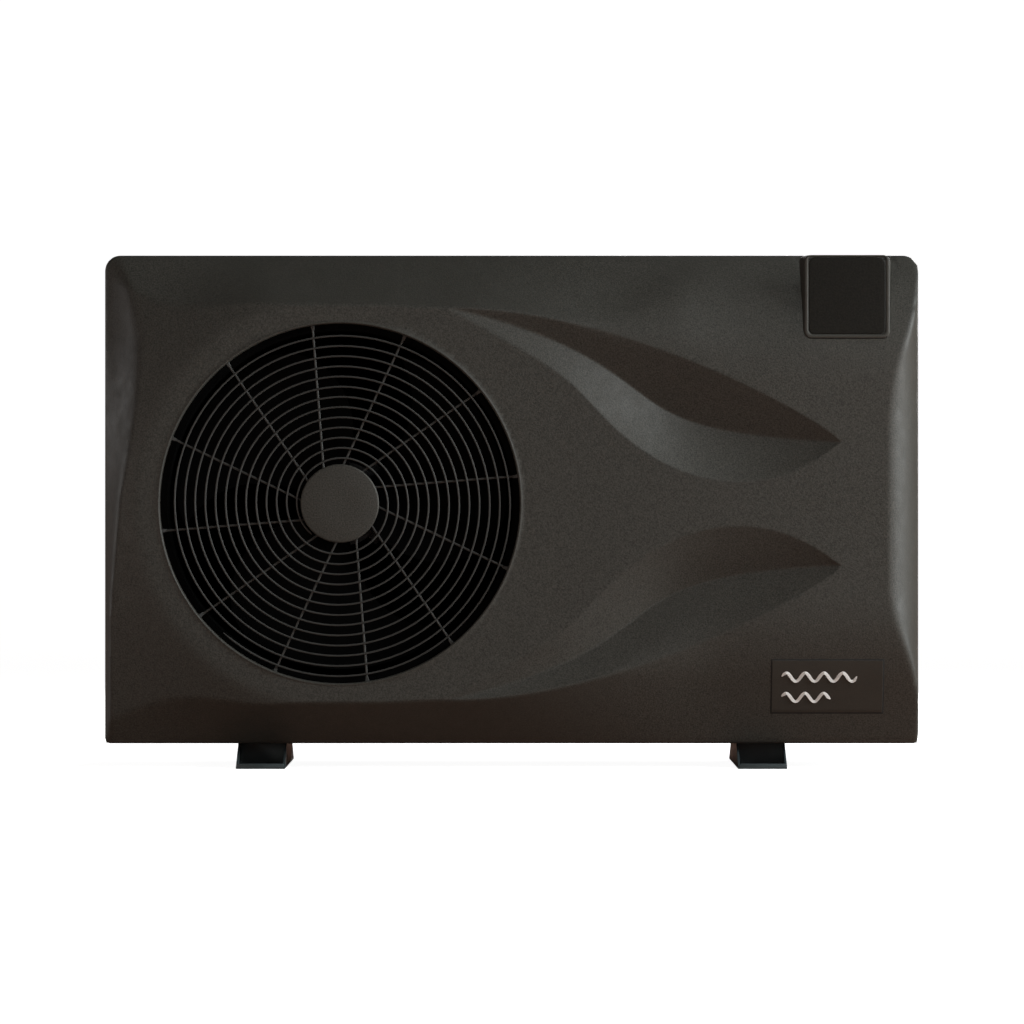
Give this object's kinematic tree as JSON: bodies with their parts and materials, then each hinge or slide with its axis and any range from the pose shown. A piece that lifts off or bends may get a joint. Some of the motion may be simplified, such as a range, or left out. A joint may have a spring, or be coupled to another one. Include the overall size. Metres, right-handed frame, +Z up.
{
  "type": "pool heat pump",
  "caption": "Low wide air-source heat pump for a swimming pool, dark moulded casing with a wire-guarded fan, leaf-shaped hollows, a flap-covered display and steel feet.",
  "frame": {"origin": "on the ground, at the centre of the four foot bolt holes", "axes": "+X to the right seen from the front, +Y towards the rear panels and water unions, +Z up; the front faces -Y"},
  "size_m": [1, 0.475, 0.63],
  "materials": {
    "casing": "fine moulded grain, near-black warm grey",
    "rear_casing": "fine moulded grain, near-black",
    "pan_metal": "powder-coated sheet steel",
    "foot_steel": "black powder coat",
    "screw_steel": "stainless",
    "plate": "dark plate with light wave marks",
    "screen": "dark display glass",
    "flap": "fine textured, dark brown-black",
    "keys": "matte",
    "guard_wire": "black coated wire",
    "shroud_black": "black",
    "fins": "dark coated fins",
    "copper": "drawn copper tube",
    "valve_brass": "machined brass",
    "compressor_black": "black enamel",
    "mount_rubber": "matte",
    "moulded_black": "black moulded",
    "vessel_grey": "grey moulded vessel",
    "pipe_white": "white pipe",
    "board_green": "green board",
    "needle_red": "red"
  },
  "bodies": {
    "root": {"front_panel": "casing", "top_cover": "rear_casing", "left_panel": "rear_casing", "right_panel": "rear_casing", "rear_grille": "rear_casing", "service_panel": "rear_casing", "base_pan": "pan_metal", "foot_left": "foot_steel", "foot_right": "foot_steel", "access_cover": "rear_casing", "panel_screws": "screw_steel", "name_plate": "plate", "display_housing": "casing", "display_screen": "screen", "hinge_pin": "screw_steel", "grille_spiral": "guard_wire", "grille_spokes": "guard_wire", "grille_cap": "casing", "fan_shroud": "shroud_black", "motor_bracket": "pan_metal", "fan_motor": "shroud_black", "evaporator_fins": "fins", "evaporator_tubes": "copper", "end_plates": "fins", "partition": "pan_metal", "compressor": "compressor_black", "compressor_mounts": "mount_rubber", "terminal_cover": "moulded_black", "accumulator": "compressor_black", "four_way_valve": "valve_brass", "discharge_pipe": "copper", "suction_pipe": "copper", "gas_pipe": "copper", "evaporator_pipe": "copper", "liquid_pipe": "copper", "expansion_valve": "valve_brass", "filter_drier": "copper", "heat_exchanger": "vessel_grey", "inlet_pipe": "pipe_white", "outlet_pipe": "pipe_white", "inlet_union": "moulded_black", "outlet_union": "moulded_black", "flow_switch": "moulded_black", "control_box": "pan_metal", "circuit_board": "board_green", "terminal_block": "moulded_black", "gauge_case": "moulded_black", "cable_glands": "moulded_black"},
    "fan": {"fan_shaft": "screw_steel", "fan_blades": "shroud_black", "fan_nut": "screw_steel"},
    "flap": {"display_flap": "flap"},
    "power_key": {"power_key": "keys"},
    "mode_key": {"mode_key": "keys"},
    "up_key": {"up_key": "keys"},
    "down_key": {"down_key": "keys"},
    "inlet_nut": {"inlet_nut": "moulded_black"},
    "outlet_nut": {"outlet_nut": "moulded_black"},
    "gauge_needle": {"gauge_needle": "needle_red"},
    "flow_paddle": {"flow_paddle": "screw_steel"}
  },
  "joints": [
    {"name": "fan_spin", "type": "hinge", "parent": "root", "child": "fan", "pos_m": [-0.21, -0.11, 0.325], "axis": [0, 1, 0], "continuous": true},
    {"name": "flap_hinge", "type": "hinge", "parent": "root", "child": "flap", "pos_m": [0.41, -0.21, 0.6238], "axis": [-1, 0, 0], "range_deg": [0, 95]},
    {"name": "power_press", "type": "slide", "parent": "root", "child": "power_key", "axis": [0, 1, 0], "range_m": [0, 0.001], "stiffness_N_per_m": 400},
    {"name": "mode_press", "type": "slide", "parent": "root", "child": "mode_key", "axis": [0, 1, 0], "range_m": [0, 0.001], "stiffness_N_per_m": 400},
    {"name": "up_press", "type": "slide", "parent": "root", "child": "up_key", "axis": [0, 1, 0], "range_m": [0, 0.001], "stiffness_N_per_m": 400},
    {"name": "down_press", "type": "slide", "parent": "root", "child": "down_key", "axis": [0, 1, 0], "range_m": [0, 0.001], "stiffness_N_per_m": 400},
    {"name": "inlet_nut_spin", "type": "hinge", "parent": "root", "child": "inlet_nut", "pos_m": [0.415, 0.226, 0.13], "axis": [0, 1, 0], "continuous": true},
    {"name": "outlet_nut_spin", "type": "hinge", "parent": "root", "child": "outlet_nut", "pos_m": [0.415, 0.226, 0.43], "axis": [0, 1, 0], "continuous": true},
    {"name": "needle_turn", "type": "hinge", "parent": "root", "child": "gauge_needle", "pos_m": [0.3, 0.211, 0.47], "axis": [0, -1, 0], "range_deg": [0, 270], "stiffness_Nm_per_rad": 0.00002},
    {"name": "paddle_swing", "type": "hinge", "parent": "root", "child": "flow_paddle", "pos_m": [0.415, 0.165, 0.143], "axis": [-1, 0, 0], "range_deg": [0, 25], "stiffness_Nm_per_rad": 0.002}
  ]
}
